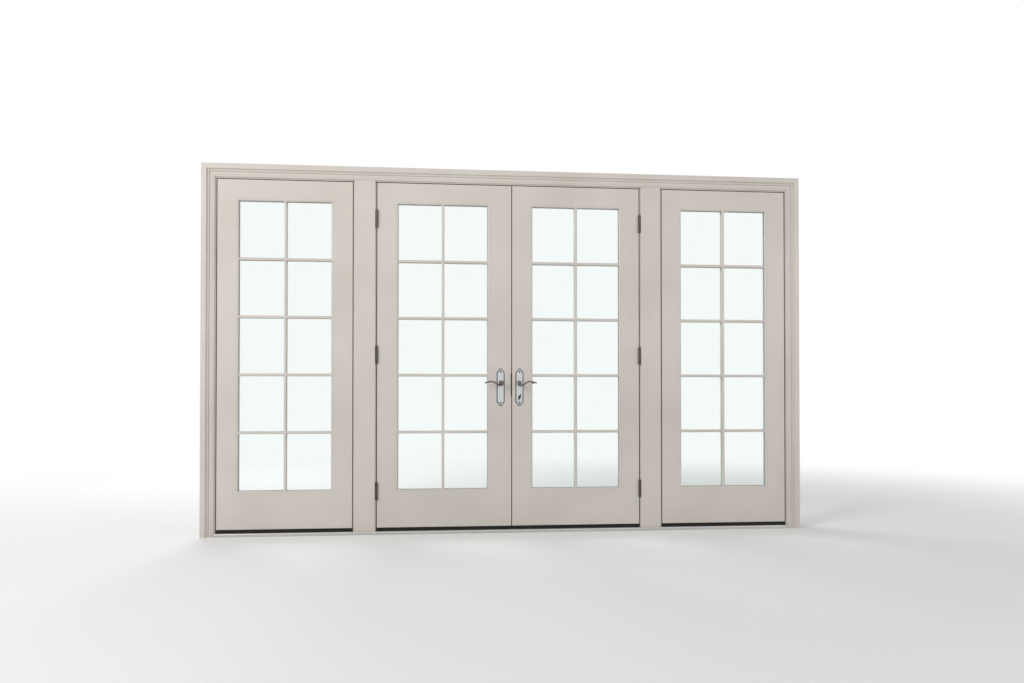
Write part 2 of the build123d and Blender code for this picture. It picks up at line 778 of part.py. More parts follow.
def right_lock_case():
    """Lock case and faceplate with ways for two bolts and the two shafts."""
    edge = door_meeting_edge
    back = edge + faceplate_thickness
    half = faceplate_width / 2
    face = block(edge, back, mid_thickness - half, mid_thickness + half,
                 case_bottom - faceplate_over, case_top + faceplate_over)
    case = lock_case_body(back) + face
    over = faceplate_over - faceplate_screw_inset
    for z in (case_bottom - over, case_top + over):
        case -= Pos(edge, mid_thickness, z) * Rot(0, -90, 0) * screw_seat(2 * faceplate_thickness)
    start = edge + bolt_setback
    case -= bolt_way(edge, start + lever_bolt_length + bolt_play, handle_height, lever_bolt_height, bolt_play)
    case -= bolt_way(edge, start + dead_bolt_length + bolt_play, dead_bolt_z, dead_bolt_height, bolt_play)
    case -= rod_y(spindle_hole_radius, handle_x, handle_height, 0, panel_thickness)
    return case - rod_y(turn_tail_radius + bolt_play, handle_x, turn_height, 0, panel_thickness)


def right_lock_mortise():
    """What is cut from the right-hand meeting stile for the lock."""
    edge = door_meeting_edge
    back = edge + faceplate_thickness
    half = case_thickness / 2 + recess_play
    face_half = faceplate_width / 2 + recess_play
    pocket = block(back, back + case_depth + recess_play, mid_thickness - half, mid_thickness + half,
                   case_bottom - recess_play, case_top + recess_play)
    face = block(edge, back, mid_thickness - face_half, mid_thickness + face_half,
                 case_bottom - faceplate_over - recess_play, case_top + faceplate_over + recess_play)
    lever_hole = rod_y(spindle_hole_radius, handle_x, handle_height, 0, panel_thickness)
    turn_hole = rod_y(spindle_hole_radius, handle_x, turn_height, 0, panel_thickness)
    return [pocket, face, lever_hole, turn_hole]


def bolt(length, z, height):
    start = door_meeting_edge + bolt_setback
    return bolt_way(start, start + length, z, height, 0)


def left_gear_case():
    """Case of the second door: it drives the two shoot bolts from the lever."""
    inner = astragal_left - bolt_play
    half = case_thickness / 2
    case = block(inner - case_depth, inner, mid_thickness - half, mid_thickness + half, case_bottom, case_top)
    case -= rod_way(case_top - rod_in_case - bolt_play, case_top)
    case -= rod_way(case_bottom, case_bottom + rod_in_case + bolt_play)
    return case - rod_y(spindle_hole_radius, -handle_x, handle_height, 0, panel_thickness)


def rod_way(z0, z1):
    """Groove for the shoot bolts in the edge of the second door's meeting stile."""
    half = rod_size / 2 + bolt_play
    return block(rod_x - half, astragal_left, mid_thickness - half, mid_thickness + half, z0, z1)


def left_lock_mortise():
    inner = astragal_left
    half = case_thickness / 2 + recess_play
    pocket = block(inner - case_depth - bolt_play - recess_play, inner, mid_thickness - half,
                   mid_thickness + half, case_bottom - recess_play, case_top + recess_play)
    lever_hole = rod_y(spindle_hole_radius, -handle_x, handle_height, 0, mid_thickness)
    return [pocket, rod_way(panel_bottom, panel_top), lever_hole]


def shoot_bolt(z0, z1):
    half = rod_size / 2
    return block(rod_x - half, rod_x + half, mid_thickness - half, mid_thickness + half, z0, z1)


def strike_blank():
    """Strike without its holes: a flat with a lip over the room-side corner, its ends slanting."""
    low = handle_height - strike_below
    high = handle_height + strike_above
    flat = block(astragal_right - strike_thickness, astragal_right, 0, strike_depth, low, high)
    lip = outline([(astragal_right, low), (astragal_right, high),
                   (astragal_right - strike_lip, high - strike_lip_taper),
                   (astragal_right - strike_lip, low + strike_lip_taper)])
    return flat + extrude(Plane.XZ * lip, -strike_lip_thickness)


def strike_plate():
    plate = strike_blank()
    back = astragal_right - strike_thickness
    for z in (strike_screw_inset - strike_below, strike_above - strike_screw_inset):
        seat = Rot(0, 90, 0) * screw_seat(2 * strike_thickness)
        plate -= Pos(astragal_right, mid_thickness, handle_height + z) * seat
    plate -= bolt_way(back, astragal_right, handle_height, lever_bolt_height, strike_play)
    return plate - bolt_way(back, astragal_right, dead_bolt_z, dead_bolt_height, strike_play)


def astragal():
    """Strip on the meeting edge of the left-hand door, with the strike and its pockets cut in."""
    edge = panel_edge_break
    left = astragal_left
    right = astragal_right
    section = outline([
        (left, edge), (left + edge, 0), (right - edge, 0), (right, edge),
        (right, panel_thickness - edge), (right - edge, panel_thickness),
        (left + edge, panel_thickness), (left, panel_thickness - edge),
    ])
    body = upright(section, panel_bottom, panel_top)
    body -= strike_blank()
    back = right - strike_pocket_depth
    body -= bolt_way(back, right, handle_height, lever_bolt_height, strike_play)
    return body - bolt_way(back, right, dead_bolt_z, dead_bolt_height, strike_play)


# Assembly


def place_panel(shape, center):
    return Pos(center, 0, panel_bottom) * shape


def place_glazing(shape, center):
    return Pos(center, 0, panel_bottom + glass_mid) * shape


def door_parts(side, hinge_cuts, meeting_cuts):
    """Stiles, rails, glazing and sweep of one door: side -1 left or 1 right."""
    name = "left_door" if side < 0 else "right_door"
    center = side * door_center
    hinge_stile = place_panel(stile(side), center)
    for cut in hinge_cuts:
        hinge_stile -= cut
    meeting_stile = place_panel(stile(-side), center)
    for cut in meeting_cuts:
        meeting_stile -= cut
    return {
        name + "_hinge_stile": hinge_stile,
        name + "_meeting_stile": meeting_stile,
        name + "_top_rail": place_panel(top_rail(), center),
        name + "_bottom_rail": place_panel(bottom_rail(), center),
        name + "_glass": solids_of(place_glazing(glass_panes(), center)),
        name + "_glass_spacer": place_glazing(glass_spacer(), center),
        name + "_inside_grille": place_glazing(inside_grille(), center),
        name + "_outside_grille": place_glazing(outside_grille(), center),
        name + "_sweep": door_sweep(side),
    }


def side_panel_parts(side):
    """Fixed panel: side -1 left or 1 right. Its frame and outside bars are glued up as one."""
    name = "left_side" if side < 0 else "right_side"
    center = side * side_center
    bars = Pos(0, 0, glass_mid) * glazing_bars(outer_glass_y, 1)
    frame = stile(-1) + stile(1) + top_rail() + bottom_rail() + bars
    return {
        name + "_panel_frame": place_panel(frame, center),
        name + "_glass": solids_of(place_glazing(glass_panes(), center)),
        name + "_glass_spacer": place_glazing(glass_spacer(), center),
        name + "_inside_grille": place_glazing(inside_grille(), center),
    }


def frame_parts():
    sill = threshold()
    head = head_jamb()
    jamb = side_jamb(head)
    post = mullion_post(head)
    board = mullion_board()
    right_leg, left_leg, head_casing = mitred_surround(
        casing_section(), casing_inner_x, casing_inner_z, casing_width, 0)
    trim_x = jamb_face - stop_width + outer_trim_reveal
    trim_z = head_face - stop_width + outer_trim_reveal
    trim = mitred_surround(outer_trim_section(), trim_x, trim_z, outer_trim_width, frame_depth)
    envelope = lengthwise(threshold_outline(), -jamb_back, jamb_back)
    trim_legs = [leg - envelope for leg in trim[:2]]
    return {
        "threshold": sill,
        "head_jamb": head,
        "right_jamb": jamb,
        "left_jamb": mirrored_x(jamb),
        "right_mullion_post": post,
        "left_mullion_post": mirrored_x(post),
        "right_mullion_board": board,
        "left_mullion_board": mirrored_x(board),
        "right_casing": right_leg,
        "left_casing": left_leg,
        "head_casing": head_casing,
        "outside_trim": solids_of(trim_legs[0], trim_legs[1], trim[2]),
        "frame_seals": frame_seals(),
    }


def hinge_parts():
    left = {
        "door_hinge_plates": solids_of(*hinge_set(hinge_half(1))),
        "frame_hinge_plates": solids_of(*hinge_set(hinge_half(-1))),
        "hinge_pins": solids_of(*hinge_set(hinge_pin())),
    }
    parts = {}
    for name, shape in left.items():
        parts["left_" + name] = shape
        parts["right_" + name] = solids_of(mirrored_x(shape))
    return parts


def handle_parts():
    at_handle = Pos(handle_x, 0, handle_height)
    lever = at_handle * lever_inside(panel_thickness + socket_depth - 1)
    left_lever = mirrored_x(at_handle * lever_inside(mid_thickness + case_thickness / 2 - 1))
    plain_plate = escutcheon(None)
    outside_plate = mirror(escutcheon(key_plug_radius), Plane.XZ)
    return {
        "right_inside_plate": escutcheon(turn_shaft_radius),
        "right_outside_plate": Pos(0, panel_thickness, 0) * outside_plate,
        "left_inside_plate": mirrored_x(plain_plate),
        "right_inside_lever": lever,
        "right_outside_lever": at_handle * lever_outside(),
        "left_inside_lever": left_lever,
        "thumbturn": Pos(handle_x, 0, turn_height) * thumbturn(),
    }


def lock_parts():
    top_rod_low = case_top - rod_in_case
    bottom_rod_high = case_bottom + rod_in_case
    return {
        "right_lock_case": right_lock_case(),
        "lever_bolt": bolt(lever_bolt_length, handle_height, lever_bolt_height),
        "dead_bolt": bolt(dead_bolt_length, dead_bolt_z, dead_bolt_height),
        "left_gear_case": left_gear_case(),
        "top_shoot_bolt": shoot_bolt(top_rod_low, panel_top - rod_end_setback),
        "bottom_shoot_bolt": shoot_bolt(threshold_height + rod_end_setback * 2, bottom_rod_high),
        "strike_plate": strike_plate(),
        "astragal": astragal(),
    }


def all_parts():
    left_gains = [hinge_gain(-door_hinge_edge, 1, z) for z in hinge_heights]
    right_gains = [hinge_gain(door_hinge_edge, -1, z) for z in hinge_heights]
    parts = frame_parts()
    parts.update(door_parts(-1, left_gains, left_lock_mortise()))
    parts.update(door_parts(1, right_gains, right_lock_mortise()))
    parts.update(side_panel_parts(-1))
    parts.update(side_panel_parts(1))
    parts.update(hinge_parts())
    parts.update(handle_parts())
    parts.update(lock_parts())
    return parts


os.makedirs("parts", exist_ok=True)
for node, shape in all_parts().items():
    export_step(shape, "parts/" + node + ".step")
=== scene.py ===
import json
import math

import bmesh
import bpy
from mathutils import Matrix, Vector


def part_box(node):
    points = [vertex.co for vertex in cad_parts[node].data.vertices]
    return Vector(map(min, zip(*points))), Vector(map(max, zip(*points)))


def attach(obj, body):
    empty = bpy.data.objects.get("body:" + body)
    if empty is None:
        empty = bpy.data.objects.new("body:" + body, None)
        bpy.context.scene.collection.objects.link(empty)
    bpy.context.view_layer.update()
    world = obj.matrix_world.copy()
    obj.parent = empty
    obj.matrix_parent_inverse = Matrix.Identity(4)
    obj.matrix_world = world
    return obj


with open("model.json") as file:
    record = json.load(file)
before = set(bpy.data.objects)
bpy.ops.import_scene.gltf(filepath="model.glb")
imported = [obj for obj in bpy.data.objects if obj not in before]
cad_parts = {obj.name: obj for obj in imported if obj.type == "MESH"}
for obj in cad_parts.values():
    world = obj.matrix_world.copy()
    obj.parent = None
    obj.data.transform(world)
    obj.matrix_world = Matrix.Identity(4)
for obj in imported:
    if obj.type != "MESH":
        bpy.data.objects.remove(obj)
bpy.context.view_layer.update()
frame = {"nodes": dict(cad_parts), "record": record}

nodes = frame["nodes"]

# The photograph's view: room side, a little left of the middle, at waist height
CAMERA_AT = (-0.500, -5.056, 0.813)
CAMERA_TURN = math.radians(-5.781)
CAMERA_TILT = math.radians(90.714)
FOCAL_PIXELS = 850.0
FRAME_PIXELS = 1024.0
AXIS_BELOW_CENTRE = 43.85
SENSOR = 36.0

# Lamps: place and size in metres, power in watts
LAMPS_AIM_AT = (0.0, 0.0, 1.0)
KEY_LAMP = {"place": (-5.8, -6.2, 4.6), "size": (3.2, 3.2), "power": 345.0}
FILL_LAMP = {"place": (6.6, -6.0, 2.8), "size": (3.6, 3.6), "power": 110.0}
OUTDOOR_LAMP = {"place": (-2.5, 5.0, 4.2), "size": (4.0, 3.0), "power": 190.0, "mirrored": False}
WORLD_LIGHT = 0.42
WORLD_SEEN = 1.0

# Floor: its reach from the middle, and where it fades into the white backdrop, in metres
FLOOR_REACH = 30.0
FLOOR_FADES = 2.4
FLOOR_WHITE = 6.5
FLOOR_GREY = 0.93

# Colours as linear red, green, blue
PAINT = (0.605, 0.563, 0.512)
PAINT_SHADED = (0.542, 0.497, 0.446)
PAINT_SCUFFED = (0.440, 0.396, 0.345)
# Painted shade: near-black brown for the walls of the narrow gaps, the edges at their mouths and the paint
# round the handle plates
GAP_PAINTED_SHADE = (0.045, 0.033, 0.026)
BRONZE = (0.060, 0.052, 0.046)
BRONZE_WORN = (0.270, 0.230, 0.195)
NICKEL = (0.600, 0.630, 0.645)
NICKEL_BRUSHED = (0.510, 0.540, 0.555)
# Near black for the handle plates' thin border, standing for tarnish and painted shade together
NICKEL_TARNISH_AND_SHADE = (0.030, 0.032, 0.034)
LEVER_NICKEL = (0.215, 0.188, 0.165)
LEVER_NICKEL_DARK = (0.110, 0.092, 0.078)
TURN_NICKEL = (0.080, 0.080, 0.080)
TURN_NICKEL_DARK = (0.038, 0.037, 0.036)
# Near-black plate screws: their colour is partly painted shade for the countersinks round them
SCREW_BLACK = (0.014, 0.013, 0.012)
SCREW_WORN = (0.050, 0.047, 0.043)
STEEL = (0.560, 0.560, 0.550)
STEEL_DARK = (0.430, 0.430, 0.420)
BLACK_RUBBER = (0.006, 0.006, 0.006)
RUBBER_DUST = (0.022, 0.021, 0.020)
SILL_METAL = (0.560, 0.555, 0.535)
SILL_METAL_DARK = (0.440, 0.435, 0.420)
SPACER_METAL = (0.520, 0.525, 0.530)
SPACER_METAL_DARK = (0.440, 0.445, 0.450)
GLASS_TINT = (0.950, 0.978, 0.970)

# Scales of the finishes' noise, one for all axes or one for each: the smallest is along the lines
PAINT_CLOUDS = 2.2
PAINT_STROKES_UP = (420.0, 420.0, 9.0)
PAINT_STROKES_ACROSS = (9.0, 420.0, 420.0)
PAINT_SCUFFS = (60.0, 60.0, 160.0)
PAINT_GLOSS = 30.0
PAINT_PORES = 900.0
BRONZE_PATCHES = 160.0
BRONZE_GLOSS = 300.0
BRONZE_PITS = 700.0
PLATE_LINES = (900.0, 900.0, 60.0)
PLATE_BLOTCHES = 140.0
HANDLED_PATCHES = 90.0
HANDLED_GLOSS = 260.0
HANDLED_DENTS = 500.0
STEEL_LINES = (60.0, 900.0, 900.0)
SILL_LINES = (8.0, 900.0, 900.0)
SPACER_LINES = (30.0, 700.0, 30.0)
RUBBER_DUST_SPOTS = 40.0
RUBBER_GRAIN = 1200.0
GLASS_WAVES = 3.0

# Roughness where the noise is low and where it is high
PAINT_ROUGHNESS = (0.36, 0.50)
BRONZE_ROUGHNESS = (0.34, 0.52)
PLATE_ROUGHNESS = (0.38, 0.28)
HANDLED_ROUGHNESS = (0.20, 0.32)
STEEL_ROUGHNESS = (0.40, 0.29)
ALUMINIUM_ROUGHNESS = (0.46, 0.35)
RUBBER_ROUGHNESS = (0.55, 0.72)

# Relief of the finishes: its depth in metres and its strength
PAINT_STROKE_RELIEF = (0.00018, 0.60)
PAINT_PORE_RELIEF = (0.00004, 0.35)
BRONZE_RELIEF = (0.00006, 0.50)
BRUSH_LINE_RELIEF = (0.00003, 0.35)
HANDLED_RELIEF = (0.00003, 0.40)
RUBBER_RELIEF = (0.00005, 0.40)
GLASS_RELIEF = (0.00040, 0.05)

# Scuffs low down on the panels, in metres above the floor
SCUFFS_FULL = 0.04
SCUFFS_END = 0.22
SCUFFS_SHARE = 0.5

# Narrow gaps round the panels, in metres: the planes of their walls and how far the painted shade in them
# reaches
SIDE_GAP_WALLS = (1.7070, 1.7040, 0.9280, 0.9250, 0.7905, 0.7875)
MEETING_GAP_WALLS = (0.0115, 0.0085)
TOP_GAP_WALLS = (2.0750, 2.0720)
GAP_LENGTH_ENDS = 2.0755
GAP_WIDTH_ENDS = 1.7075
GAP_SHADE_AT_EDGE = 0.0003
GAP_SHADE_OVER_EDGE = 0.0018
GAP_SHADE_STARTS = -0.0008
GAP_SHADE_FULL = -0.0002
GAP_SHADE_THINS = 0.0080
GAP_SHADE_ENDS = 0.0180
GAP_SHADE_SHARE = 0.93

# Painted shade on the paint round the handle plates, in metres from their edges
PLATE_RING_SHADE_SHARE = 0.75
PLATE_RING_SHADE_FULL = 0.0004
PLATE_RING_SHADE_ENDS = 0.0026

# Handle plates, in metres: the outline with its slanted ends, and how far field and border stand out
PLATE_MIDDLE = (0.0565, 0.8645)
PLATE_HALF_WIDTH = 0.0225
PLATE_HALF_HEIGHT = 0.1115
PLATE_SLOPE = (0.7795, 0.6264)
PLATE_SLOPE_OUT = 0.0725
PLATE_CORNER_ROUND = 0.0060
PLATE_FIELD_OUT = 0.0050
PLATE_FIELD_EDGE = 0.0002
PLATE_BORDER_OUT = 0.0034

# Places of the screws, in metres
DOOR_MIDDLE_Y = 0.02225
PLATE_SCREW_INSET = 0.019
FACEPLATE_SCREW_INSET = 0.007
STRIKE_SCREW_INSET = 0.014
HINGE_HEIGHT = 0.1016
HINGE_PLATE_REACH = 0.030
HINGE_GAP = 0.003
HINGE_SCREW_ROWS = 4
HINGE_SCREW_ZIGZAG = 0.010

# Screw heads, in metres, and their cross recess, in shares of the radius
# The plate screws' heads are a little larger than usual, so that with their near-black colour they also
# cover painted shade in the countersinks
PLATE_HEAD_RADIUS = 0.0054
HEAD_RADIUS = 0.0039
RAISED_HEAD = 0.0011
FLAT_HEAD = 0.0005
RECESS_DEPTH = 0.0016
RECESS_REACH = 0.60
RECESS_WIDTH = 0.24
HEAD_SEGMENTS = 20
HEAD_RINGS = 10
SCREW_TURN_SEED = 7

# Bulb seal between the doors, in metres
SEAL_SEATED = 0.0002
SEAL_CLEAR = 0.0001
SEAL_FROM_OUTSIDE = 0.0020
SEAL_STEPS = 12

SHARP_EDGE = math.radians(40)
WHITE = (1.0, 1.0, 1.0, 1.0)

# The Mix node's sockets for colours
FIRST_COLOUR = 6
SECOND_COLOUR = 7
MIXED_COLOUR = 2


# Objects


def add_object(name, data):
    added = bpy.data.objects.new(name, data)
    bpy.context.scene.collection.objects.link(added)
    return added


def smooth(mesh):
    """Smooth shading with the sharp edges kept."""
    mesh.shade_smooth()
    mesh.set_sharp_from_angle(angle=SHARP_EDGE)


# Material helpers


def show(tree, surface):
    """Make this the surface that the tree's output shows."""
    output = next(node for node in tree.nodes if node.bl_idname.startswith("ShaderNodeOutput"))
    tree.links.new(surface, output.inputs["Surface"])


def new_material(name):
    """A new material, with its tree and the shader that its output shows."""
    material = bpy.data.materials.new(name)
    material.use_nodes = True
    tree = material.node_tree
    tree.nodes.clear()
    tree.nodes.new("ShaderNodeOutputMaterial")
    shader = tree.nodes.new("ShaderNodeBsdfPrincipled")
    show(tree, shader.outputs["BSDF"])
    return material, tree, shader


def mix_surfaces(tree, share, first, second):
    """Second surface over the first where share is 1."""
    node = tree.nodes.new("ShaderNodeMixShader")
    for value, socket in zip((share, first, second), node.inputs):
        tree.links.new(value, socket)
    return node.outputs["Shader"]


def noise(tree, scale, detail=3.0, roughness=0.5):
    """Noise over object coordinates, finer along an axis with a larger scale."""
    if isinstance(scale, float):
        scale = (scale, scale, scale)
    place = tree.nodes.new("ShaderNodeTexCoord")
    stretch = tree.nodes.new("ShaderNodeMapping")
    stretch.inputs["Scale"].default_value = scale
    tree.links.new(place.outputs["Object"], stretch.inputs["Vector"])
    texture = tree.nodes.new("ShaderNodeTexNoise")
    texture.inputs["Scale"].default_value = 1.0
    texture.inputs["Detail"].default_value = detail
    texture.inputs["Roughness"].default_value = roughness
    tree.links.new(stretch.outputs["Vector"], texture.inputs["Vector"])
    return texture.outputs["Fac"]


def ramp(tree, value, low, high, low_at=0.3, high_at=0.7):
    """A colour ramp between two colours, or two greys given as single numbers."""
    node = tree.nodes.new("ShaderNodeValToRGB")
    for element, colour, place in zip(node.color_ramp.elements, (low, high), (low_at, high_at)):
        if isinstance(colour, float):
            colour = (colour, colour, colour)
        element.color = (*colour, 1.0)
        element.position = place
    tree.links.new(value, node.inputs["Fac"])
    return node.outputs["Color"]


def blend(tree, share, first, second):
    """Second colour over the first where share is 1."""
    node = tree.nodes.new("ShaderNodeMix")
    node.data_type = "RGBA"
    tree.links.new(share, node.inputs["Factor"])
    for value, place in ((first, FIRST_COLOUR), (second, SECOND_COLOUR)):
        if isinstance(value, tuple):
            node.inputs[place].default_value = (*value, 1.0)
        else:
            tree.links.new(value, node.inputs[place])
    return node.outputs[MIXED_COLOUR]


def axis_value(tree, axis):
    """One object coordinate, in metres."""
    place = tree.nodes.new("ShaderNodeTexCoord")
    split = tree.nodes.new("ShaderNodeSeparateXYZ")
    tree.links.new(place.outputs["Object"], split.inputs["Vector"])
    return split.outputs[axis]


def calculate(tree, operation, first, second=None, third=None):
    """A Math node on numbers and on other nodes' outputs."""
    node = tree.nodes.new("ShaderNodeMath")
    node.operation = operation
    for value, socket in zip((first, second, third), node.inputs):
        if isinstance(value, float):
            socket.default_value = value
        elif value is not None:
            tree.links.new(value, socket)
    return node.outputs[0]


def between(tree, value, low, high, at_low=0.0, at_high=1.0):
    """Smooth change from at_low to at_high as value goes from low to high."""
    node = tree.nodes.new("ShaderNodeMapRange")
    node.interpolation_type = "SMOOTHSTEP"
    for name, number in (("From Min", low), ("From Max", high), ("To Min", at_low), ("To Max", at_high)):
        node.inputs[name].default_value = number
    tree.links.new(value, node.inputs["Value"])
    return node.outputs["Result"]


def nearest(tree, value, places):
    """Distance from value to the nearest of the places."""
    found = None
    for place in places:
        away = calculate(tree, "ABSOLUTE", calculate(tree, "SUBTRACT", value, place))
        found = away if found is None else calculate(tree, "MINIMUM", found, away)
    return found


def bump(tree, shader, height, relief, after=None):
    """Relief from a height, over the relief of another bump where one is given."""
    node = tree.nodes.new("ShaderNodeBump")
    node.inputs["Distance"].default_value, node.inputs["Strength"].default_value = relief
    tree.links.new(height, node.inputs["Height"])
    if after is not None:
        tree.links.new(after.outputs["Normal"], node.inputs["Normal"])
    tree.links.new(node.outputs["Normal"], shader.inputs["Normal"])
    return node


# Finishes


def gap_shade_mask(tree):
    """Share of the painted shade on the walls of the narrow gaps and on the edges at their mouths."""
    sideways = axis_value(tree, "X")
    across = calculate(tree, "ABSOLUTE", sideways)
    up = axis_value(tree, "Z")
    depth = axis_value(tree, "Y")
    upright = calculate(tree, "MINIMUM", nearest(tree, across, SIDE_GAP_WALLS),
                        nearest(tree, sideways, MEETING_GAP_WALLS))
    upright = between(tree, upright, GAP_SHADE_AT_EDGE, GAP_SHADE_OVER_EDGE, 1.0, 0.0)
    upright = calculate(tree, "MULTIPLY", upright, calculate(tree, "LESS_THAN", up, GAP_LENGTH_ENDS))
    level = between(tree, nearest(tree, up, TOP_GAP_WALLS), GAP_SHADE_AT_EDGE, GAP_SHADE_OVER_EDGE, 1.0, 0.0)
    level = calculate(tree, "MULTIPLY", level, calculate(tree, "LESS_THAN", across, GAP_WIDTH_ENDS))
    reach = calculate(tree, "MULTIPLY", between(tree, depth, GAP_SHADE_STARTS, GAP_SHADE_FULL, 0.0, GAP_SHADE_SHARE),
                      between(tree, depth, GAP_SHADE_THINS, GAP_SHADE_ENDS, 1.0, 0.0))
    return calculate(tree, "MULTIPLY", calculate(tree, "MAXIMUM", upright, level), reach)


def plate_ring_shade_mask(tree):
    """Share of the painted shade on the paint round the pointed handle plates."""
    sideways = axis_value(tree, "X")
    room_side = calculate(tree, "LESS_THAN", axis_value(tree, "Y"), DOOR_MIDDLE_Y)
    plated = calculate(tree, "MAXIMUM", room_side, calculate(tree, "GREATER_THAN", sideways, 0.0))
    aside = calculate(tree, "SUBTRACT", calculate(tree, "ABSOLUTE", sideways), PLATE_MIDDLE[0])
    aside = calculate(tree, "ABSOLUTE", aside)
    above = calculate(tree, "ABSOLUTE", calculate(tree, "SUBTRACT", axis_value(tree, "Z"), PLATE_MIDDLE[1]))
    point = calculate(tree, "ADD", calculate(tree, "MULTIPLY", aside, PLATE_SLOPE[0]),
                      calculate(tree, "MULTIPLY", above, PLATE_SLOPE[1]))
    outside = calculate(tree, "SMOOTH_MAX", calculate(tree, "SUBTRACT", aside, PLATE_HALF_WIDTH),
                        calculate(tree, "SUBTRACT", point, PLATE_SLOPE_OUT), PLATE_CORNER_ROUND)
    outside = calculate(tree, "MAXIMUM", outside, calculate(tree, "SUBTRACT", above, PLATE_HALF_HEIGHT))
    return calculate(tree, "MULTIPLY", between(tree, outside, PLATE_RING_SHADE_FULL, PLATE_RING_SHADE_ENDS, PLATE_RING_SHADE_SHARE, 0.0), plated)


def painted_wood(name, stroke_scale):
    """Brushed satin paint, scuffed low down, with painted shade at the gaps and round the handle plates."""
    material, tree, shader = new_material(name)
    clouds = noise(tree, PAINT_CLOUDS, detail=2.0)
    colour = ramp(tree, clouds, PAINT_SHADED, PAINT, low_at=0.25, high_at=0.60)
    strokes = noise(tree, stroke_scale, detail=4.0)
    colour = blend(tree, between(tree, strokes, low=0.45, high=0.75, at_high=0.35), colour, PAINT_SHADED)
    scuffs = between(tree, noise(tree, PAINT_SCUFFS, detail=6.0, roughness=0.7), low=0.52, high=0.78)
    low_down = between(tree, axis_value(tree, "Z"), SCUFFS_FULL, SCUFFS_END, SCUFFS_SHARE, 0.0)
    colour = blend(tree, calculate(tree, "MULTIPLY", scuffs, low_down), colour, PAINT_SCUFFED)
    # Painted shade: near black in the narrow gaps, on the edges at their mouths and round the handle plates
    painted_shade_share = calculate(tree, "MAXIMUM", gap_shade_mask(tree), plate_ring_shade_mask(tree))
    tree.links.new(blend(tree, painted_shade_share, colour, GAP_PAINTED_SHADE), shader.inputs["Base Color"])
    gloss = noise(tree, PAINT_GLOSS, detail=4.0)
    tree.links.new(ramp(tree, gloss, *PAINT_ROUGHNESS), shader.inputs["Roughness"])
    brushed = bump(tree, shader, strokes, PAINT_STROKE_RELIEF)
    bump(tree, shader, noise(tree, PAINT_PORES, detail=2.0), PAINT_PORE_RELIEF, after=brushed)
    shader.inputs["Coat Weight"].default_value = 0.10
    shader.inputs["Coat Roughness"].default_value = 0.25
    return material


def aged_bronze():
    """Dark bronze, worn lighter in patches and finely pitted."""
    material, tree, shader = new_material("aged_bronze")
    patches = noise(tree, BRONZE_PATCHES, detail=6.0, roughness=0.65)
    colour = ramp(tree, patches, BRONZE, BRONZE_WORN, low_at=0.50, high_at=0.80)
    tree.links.new(colour, shader.inputs["Base Color"])
    gloss = noise(tree, BRONZE_GLOSS)
    tree.links.new(ramp(tree, gloss, *BRONZE_ROUGHNESS), shader.inputs["Roughness"])
    shader.inputs["Metallic"].default_value = 0.85
    bump(tree, shader, noise(tree, BRONZE_PITS, detail=5.0), BRONZE_RELIEF)
    return material


def brushed_metal(name, light, dark, roughness, line_scale):
    """Metal with fine brush lines that run along the axis with the smallest line scale."""
    material, tree, shader = new_material(name)
    lines = noise(tree, line_scale, detail=6.0, roughness=0.6)
    colour = ramp(tree, lines, dark, light, low_at=0.30, high_at=0.65)
    tree.links.new(colour, shader.inputs["Base Color"])
    tree.links.new(ramp(tree, lines, *roughness), shader.inputs["Roughness"])
    shader.inputs["Metallic"].default_value = 1.0
    bump(tree, shader, lines, BRUSH_LINE_RELIEF)
    return material


def plate_nickel():
    """Brushed nickel, bright on the raised field and near black on the thin border round it, as tarnish and
    painted shade.
    """
    material, tree, shader = new_material("plate_nickel")
    lines = noise(tree, PLATE_LINES, detail=6.0, roughness=0.6)
    bright = ramp(tree, lines, NICKEL_BRUSHED, NICKEL, low_at=0.30, high_at=0.65)
    out_of_door = calculate(tree, "SUBTRACT", axis_value(tree, "Y"), DOOR_MIDDLE_Y)
    out_of_door = calculate(tree, "ABSOLUTE", out_of_door)
    border = between(tree, out_of_door, DOOR_MIDDLE_Y + PLATE_BORDER_OUT,
                     DOOR_MIDDLE_Y + PLATE_FIELD_OUT - PLATE_FIELD_EDGE, 1.0, 0.0)
    blotches = noise(tree, PLATE_BLOTCHES, detail=6.0)
    blotches = between(tree, blotches, low=0.35, high=0.75, at_low=1.0, at_high=0.88)
    # The border's near black is tarnish and painted shade
    tarnish_and_shade = calculate(tree, "MULTIPLY", border, blotches)
    tree.links.new(blend(tree, tarnish_and_shade, bright, NICKEL_TARNISH_AND_SHADE), shader.inputs["Base Color"])
    tree.links.new(ramp(tree, lines, *PLATE_ROUGHNESS), shader.inputs["Roughness"])
    shader.inputs["Metallic"].default_value = 1.0
    bump(tree, shader, lines, BRUSH_LINE_RELIEF)
    return material


def handled_nickel(name, light, dark):
    """Nickel darkened by hands, worn brighter in patches; on the near-black plate screws the dark also
    stands for painted shade in their countersinks.
    """
    material, tree, shader = new_material(name)
    patches = noise(tree, HANDLED_PATCHES, detail=5.0, roughness=0.6)
    colour = ramp(tree, patches, dark, light, low_at=0.32, high_at=0.68)
    tree.links.new(colour, shader.inputs["Base Color"])
    gloss = noise(tree, HANDLED_GLOSS, detail=4.0)
    tree.links.new(ramp(tree, gloss, *HANDLED_ROUGHNESS), shader.inputs["Roughness"])
    shader.inputs["Metallic"].default_value = 1.0
    bump(tree, shader, noise(tree, HANDLED_DENTS, detail=4.0), HANDLED_RELIEF)
    return material


